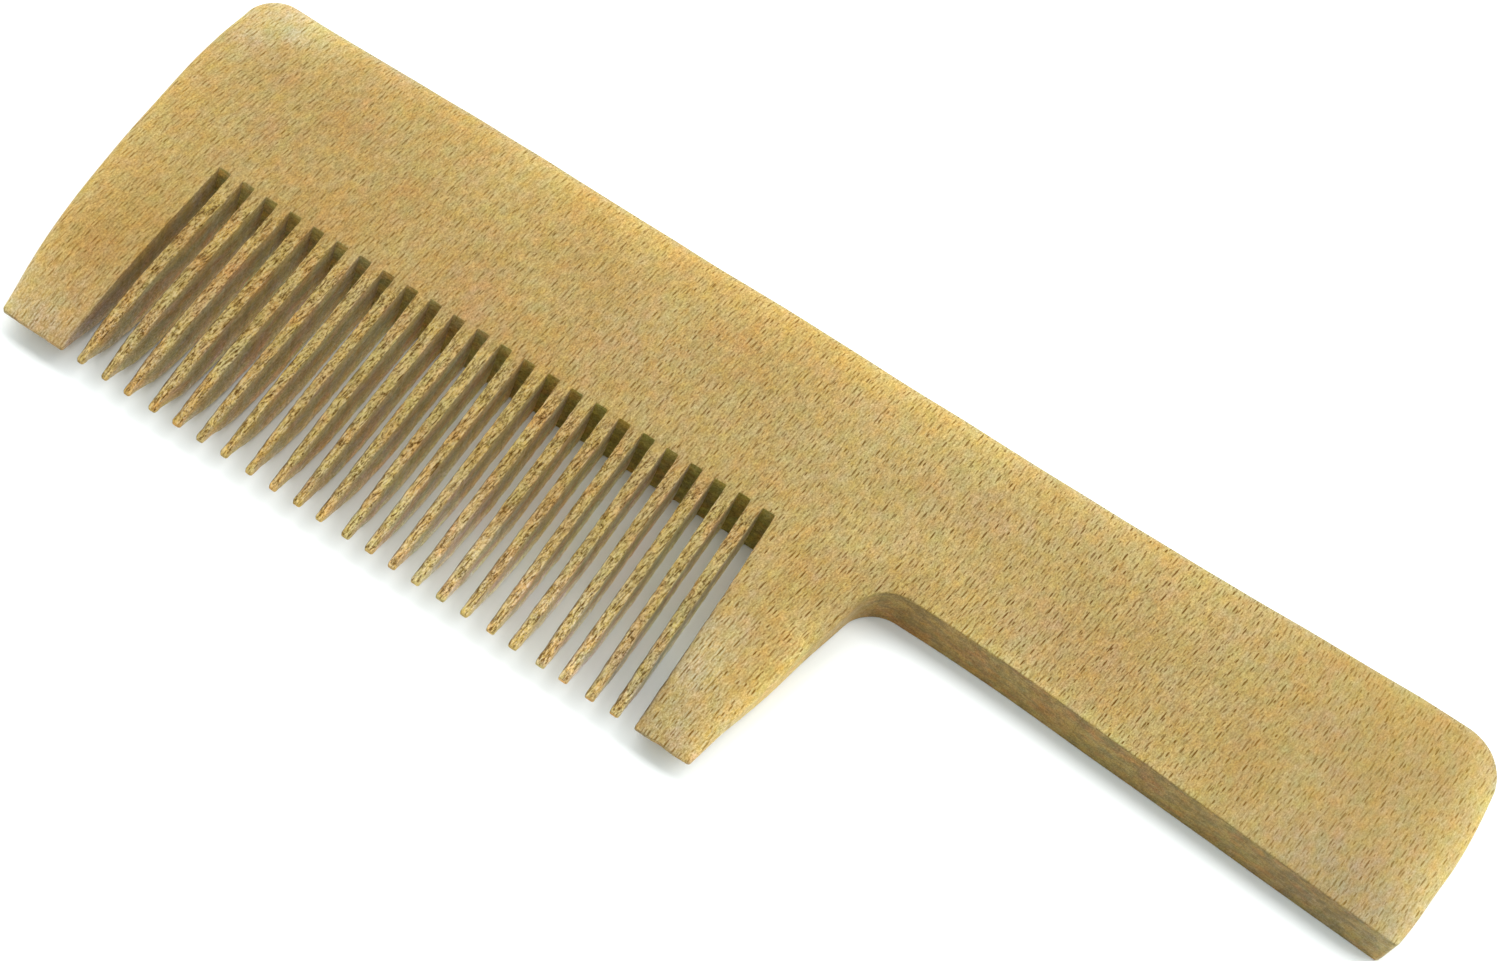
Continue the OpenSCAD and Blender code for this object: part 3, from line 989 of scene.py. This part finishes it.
class Beech(Nodes):
    """Plain sanded beech with its grain along Y. Each step takes a colour and gives the next."""

    def __init__(self):
        super().__init__("beech")
        where = self.new("ShaderNodeTexCoord").outputs
        inputs = {0: where["Object"], "Scale": 1 / MM}
        in_mm = self.new("ShaderNodeVectorMath", inputs, operation="SCALE")
        self.place = self.split(in_mm.outputs[0])
        self.x, self.y, self.z = self.place
        nx, ny, self.nz = self.split(where["Normal"])
        # Which way the surface faces: end grain across Y, sides across X
        self.flat = self.ramp(self.math("ABSOLUTE", self.nz), 0.25, 0.8)
        upright = self.math("SUBTRACT", 1.0, self.flat)
        self.across = self.ramp(self.math("ABSOLUTE", ny), 0.35, 0.85)
        self.end_grain = self.times(self.across, upright, clamp=True)
        self.side = self.times(self.ramp(self.math("ABSOLUTE", nx), 0.5, 0.9), upright, clamp=True)
        self.tooth = self.attribute("tooth")
        self.below_top = self.attribute("below_top")
        # The grain leans a few degrees toward the handle, and wanders a little
        drift = self.field(self.place, (1, 1, 1), 1 / 34.0, 1.0)
        lean = self.times(self.ramp(self.x, -80, 60, 0.10, 0.14), self.y)
        wander = self.times(self.math("SUBTRACT", drift, 0.5), 2.4)
        self.gx = self.math("SUBTRACT", self.plus(self.x, wander), lean)
        self.in_grain = (self.gx, self.y, self.z)
        # Growth rings lie nearly flat in the board
        self.ring_level = self.plus(self.plus(self.z, self.times(drift, 5.0)), self.times(self.x, 0.02))
        self.fibre = self.field(self.in_grain, (1, 0.22, 1), 2.9, 3.0, 0.7)
        self.grit = self.field(self.in_grain, (1, 0.6, 1), 5.5, 2.0, 0.7)
        self.dark_rays, self.pale_rays = self.rays()

    def rays(self):
        """Dark rays, seen end on as short dashes, and the pale wood beside them."""
        dark, pale = self.dashes(
            self.gx, self.y, cell=(0.98, 2.1), half=(0.14, 0.70),
            lengths=(0.5, 1.5), depths=(0.2, 0.95), shift=(0.0, 0.0), jitter=0.9,
        )
        thin, light = self.dashes(
            self.gx, self.y, cell=(0.62, 1.5), half=(0.11, 0.5),
            lengths=(0.5, 1.4), depths=(0.0, 0.75), shift=(41.3, 17.9), jitter=0.95,
        )
        show = self.ramp(self.x, -80, 60, 0.72, 1.0)
        show = self.times(show, self.ramp(self.end_grain, 0.0, 1.0, 1.0, 0.2))
        show = self.times(show, self.ramp(self.side, 0.0, 1.0, 1.0, 0.3))
        return self.times(self.largest(dark, thin), show), self.times(self.largest(pale, light), show)

    def stages(self, value, first, rows, course):
        """Goes from one gain to the next as the value passes each row."""
        gain = first
        for low, high, reached in rows:
            gain = self.mix(course(value, low, high), gain, reached)
        return gain

    def plain_wood(self):
        """Large soft patches of yellow, pinkish and pale wood, growth rings and mottling."""
        patch = self.field(self.place, (1, 0.8, 2.0), 1 / 13.0, 3.0, 0.55)
        pink = self.field((self.plus(self.x, 90.0), self.y, self.z), (1, 1, 2.0), 1 / 9.0, 2.5)
        color = self.mix(self.ramp(patch, 0.38, 0.64), YELLOW_WOOD, BROWN_WOOD)
        color = self.mix(self.ramp(pink, 0.48, 0.70, 0.0, 0.6), color, PINK_WOOD)
        rings = self.field((self.gx, self.y, self.ring_level), (0.03, 0.012, 1), 1.15, 2.0, 0.6)
        color = self.tint(color, self.ramp(rings, 0.35, 0.7), (1.02, 1.02, 1.02), (0.98, 0.95, 0.92))
        mottle = self.field(self.in_grain, (1, 0.7, 1), 0.62, 2.0, 0.6)
        color = self.tint(color, self.straight(mottle, 0.3, 0.7), (1.06, 0.98, 0.74), (0.94, 1.01, 1.26))
        green = self.field((self.plus(self.gx, 37.0), self.y, self.z), (1, 0.7, 1), 0.5, 2.0, 0.6)
        color = self.tint(color, self.straight(green, 0.3, 0.7), (0.96, 1.03, 0.93), (1.04, 0.97, 1.05))
        return self.multiply(color, self.stages(self.x, LEFT_WOOD, FURTHER_ALONG, self.ramp))

    def fine_marks(self, color):
        """Fibres, grit and rays, strongest in the middle and fainter toward both ends."""
        plain = color
        fibre, grit = self.straight(self.fibre, 0.25, 0.75), self.straight(self.grit, 0.25, 0.75)
        color = self.tint(color, fibre, (1.28, 1.35, 1.70), (0.74, 0.69, 0.46))
        color = self.tint(color, grit, (1.50, 1.60, 2.20), (0.58, 0.52, 0.23))
        color = self.mix(self.times(self.pale_rays, 0.7), color, BESIDE_RAYS)
        ray = self.mix(self.ramp(self.x, -50, 20), RAYS_AT_LEFT, RAYS_AT_RIGHT)
        color = self.mix(self.dark_rays, color, ray)
        calm = self.largest(self.ramp(self.x, -20, -60, 0.0, 0.1), self.ramp(self.x, 50, 78, 0.0, 0.35))
        calm = self.largest(calm, self.times(self.below_top, 0.2))
        return self.mix(calm, color, plain)

    def torn_grain(self, color):
        """Torn, rougher grain on the tops of the teeth, and a thin dark line along their left edges."""
        tear = self.field(self.in_grain, (3.0, 0.8, 1), 1.0, 4.0, 0.85)
        shred = self.field(self.in_grain, (5.5, 2.0, 1), 1.0, 3.0, 0.85)
        ruddy = self.field(self.place, (1, 0.4, 1), 1 / 2.5, 1.0)
        streak, _ = self.dashes(
            self.gx, self.y, cell=(0.52, 2.6), half=(0.1, 1.0),
            lengths=(0.5, 1.6), depths=(0.2, 1.1), shift=(11.7, 5.3), jitter=0.95,
        )
        on_top = self.times(self.tooth, self.ramp(self.flat, 0.0, 1.0, 0.12, 1.0))
        deep = self.largest(self.ramp(tear, 0.54, 0.61), self.ramp(shred, 0.55, 0.61))
        self.pits = self.times(self.largest(deep, streak), on_top)
        lift = self.largest(self.ramp(tear, 0.45, 0.36), self.ramp(shred, 0.44, 0.36))
        lift = self.times(lift, on_top)
        color = self.gain(color, self.tooth, (1.17, 1.27, 1.29))
        color = self.gain(color, self.times(self.ramp(ruddy, 0.48, 0.62), self.tooth), (1.05, 0.91, 0.93))
        color = self.mix(self.times(self.pits, 0.95), color, PIT)
        color = self.mix(self.times(lift, 0.9), color, LIFTED)
        return self.mix(self.times(self.attribute("dark_left_edge"), 0.85), color, DARK_LEFT_EDGE)

    def wear_and_painted_light(self, color):
        """Rims brighter from paler sanded wood and painted sheen, painted highlights and shade along
        edges, tips paler from use and painted light, and spots warm, pale or grey, two pale ones painted
        highlights.
        """
        sanding_and_sheen, cool_sheen = self.attribute("sanding_and_sheen"), self.attribute("cool_sheen")
        # Painted sheen over paler sanded wood on the rims, neutral or warm
        color = self.gain(color, self.times(sanding_and_sheen, cool_sheen), COOL_SHEEN)
        color = self.gain(color, self.times(sanding_and_sheen, self.math("SUBTRACT", 1.0, cool_sheen)), WARM_SHEEN)
        # Painted highlight along the handle's lower edge, on faces that look up
        facing_up = self.ramp(self.nz, 0.3, 0.8)
        color = self.gain(color, self.times(self.attribute("lower_edge_highlight"), facing_up), LOWER_EDGE_HIGHLIGHT)
        for name, high in WEAR_AND_LIGHT.items():
            color = self.gain(color, self.attribute(name), high)
        return color

    def sawn_walls(self, color):
        """The walls of the slots, scuffed by the saw, with painted light that brightens them further down
        and at their roots.
        """
        gain = self.stages(self.below_top, WALL_TOP, PAINTED_LIGHT_DOWN, self.straight)
        scuff = self.field(self.place, (0.5, 1, 1.4), 1.7, 3.0, 0.7)
        gain = self.tint(gain, self.ramp(scuff, 0.3, 0.7), (1.12, 1.11, 1.1), (0.88, 0.89, 0.9))
        grain = self.field(self.place, (1, 1.3, 2.4), 3.0, 2.0, 0.8)
        gain = self.tint(gain, self.ramp(grain, 0.32, 0.68), (1.3, 1.31, 1.4), (0.72, 0.71, 0.66))
        # Toward the left the walls look darker and greyer, and the roots of the slots get more painted
        # light
        at_left = self.ramp(self.x, -25, -45)
        below_root = self.times(at_left, self.ramp(self.y, 0, -8))
        gain = self.tint(gain, below_root, (0.98, 1.06, 1.2), (0.92, 0.98, 1.08))
        gain = self.gain(gain, self.times(at_left, self.ramp(self.y, -16, -23)), (0.87, 0.87, 0.82))
        # Painted light on the roots of the slots, which face across the grain
        root_painted_light = self.mix(at_left, (1.4, 1.75, 1.7), (1.86, 2.35, 3.4))
        gain = self.mix(self.across, gain, root_painted_light)
        return self.mix(self.attribute("sawn"), color, self.multiply(color, gain))

    def end_faces(self, color):
        """End grain is darker and browner, blotched, with the rings as faint lines along it."""
        lines = self.field((self.x, self.y, self.ring_level), (0.22, 0.2, 1), 2.6, 3.0, 0.65)
        blotch = self.field(self.place, (0.55, 1, 1), 0.9, 3.0, 0.6)
        rust = self.field((self.x, self.plus(self.y, 50.0), self.z), (0.5, 1, 1), 0.6, 2.0, 0.6)
        dusk = self.mix(self.ramp(lines, 0.35, 0.7), (1.0, 0.95, 0.77), (0.72, 0.66, 0.49))
        dusk = self.tint(dusk, self.ramp(blotch, 0.36, 0.62), (1.06, 1.07, 1.08), (0.70, 0.73, 0.74))
        dusk = self.gain(dusk, self.ramp(rust, 0.5, 0.64), (1.12, 0.92, 0.86))
        return self.mix(self.times(self.end_grain, 0.9), color, self.multiply(color, dusk))

    def relief(self):
        """Bump of the fibres, with the rays and the torn grain as pits."""
        height = self.plus(self.times(self.dark_rays, -1.0), self.times(self.fibre, 0.8))
        height = self.plus(height, self.times(self.grit, 0.5))
        height = self.math("SUBTRACT", height, self.times(self.pits, 1.6))
        inputs = {"Strength": 0.6, "Distance": 0.07 * MM, "Height": height}
        return self.new("ShaderNodeBump", inputs).outputs[0]

    def finish(self, color):
        """Joins colour, roughness and relief. Pits don't shine."""
        rough = self.ramp(self.fibre, 0.25, 0.75, 0.52, 0.68)
        rough = self.plus(rough, self.times(self.dark_rays, 0.1))
        rough = self.plus(rough, self.times(self.tooth, 0.08))
        dull = self.largest(self.dark_rays, self.pits)
        self.surface({
            "Base Color": color,
            "Roughness": rough,
            "Specular IOR Level": self.straight(dull, 0.0, 1.0, 0.36, 0.05),
            "Normal": self.relief(),
        })


def beech_material():
    wood = Beech()
    color = wood.plain_wood()
    for step in (wood.fine_marks, wood.torn_grain, wood.wear_and_painted_light, wood.sawn_walls, wood.end_faces):
        color = step(color)
    wood.finish(color)
    return wood.material


mesh.materials.append(beech_material())

# Floor, light and camera, in metres
FLOOR_REACH = 3.0
FLOOR_WHITE = (0.92, 0.935, 0.94)


def floor_material():
    plain = Nodes("floor_white")
    plain.surface({"Base Color": FLOOR_WHITE, "Roughness": 0.9, "Specular IOR Level": 0.1})
    return plain.material


def lay_floor():
    r = FLOOR_REACH
    floor_mesh = bpy.data.meshes.new("floor")
    floor_mesh.from_pydata([(-r, -r, 0), (r, -r, 0), (r, r, 0), (-r, r, 0)], [], [(0, 1, 2, 3)])
    floor_mesh.materials.append(floor_material())
    floor = bpy.data.objects.new("floor", floor_mesh)
    bpy.context.scene.collection.objects.link(floor)


def softbox(name, place, size, power):
    """A soft light that is level from left to right and leans toward the comb."""
    light = bpy.data.lights.new(name, "AREA")
    light.shape = "RECTANGLE"
    light.size, light.size_y = size
    light.energy = power
    lamp = bpy.data.objects.new(name, light)
    lamp.location = place
    lamp.rotation_euler = Vector((0, -place[1], -place[2])).to_track_quat("-Z", "Y").to_euler()
    bpy.context.scene.collection.objects.link(lamp)


def light_studio():
    """The key light is two boxes end to end. The gap between them is over the slots, and keeps
    their floors in half shade."""
    softbox("key_left", (-0.79, 0.384, 1.066), (1.42, 0.5), 10.6)
    softbox("key_right", (0.8425, 0.384, 1.066), (1.615, 0.5), 12.1)
    softbox("back", (0.1, 1.0, 0.36), (1.1, 0.3), 5.0)
    world = bpy.data.worlds.new("studio")
    bpy.context.scene.world = world
    world.use_nodes = True
    sky = world.node_tree.nodes["Background"]
    sky.inputs["Color"].default_value = (0.92, 1.0, 1.0, 1)
    sky.inputs["Strength"].default_value = 0.8


# Camera, solved from the photograph. The lens is in millimetres on a sensor 36 wide.
CAMERA_PLACE = (0.023194, -0.167445, 0.310196)
CAMERA_DEGREES = (27.80413, -11.76456, 30.35093)
CAMERA_LENS = 66.868


def set_camera():
    data = bpy.data.cameras.new("camera")
    data.sensor_fit = "HORIZONTAL"
    data.sensor_width = 36.0
    data.lens = CAMERA_LENS
    data.clip_start = 0.01
    data.dof.use_dof = False
    camera = bpy.data.objects.new("camera", data)
    camera.location = CAMERA_PLACE
    camera.rotation_euler = Euler([math.radians(a) for a in CAMERA_DEGREES], "XYZ")
    bpy.context.scene.collection.objects.link(camera)
    bpy.context.scene.camera = camera


lay_floor()
light_studio()
set_camera()
bpy.context.scene.view_settings.view_transform = "Standard"
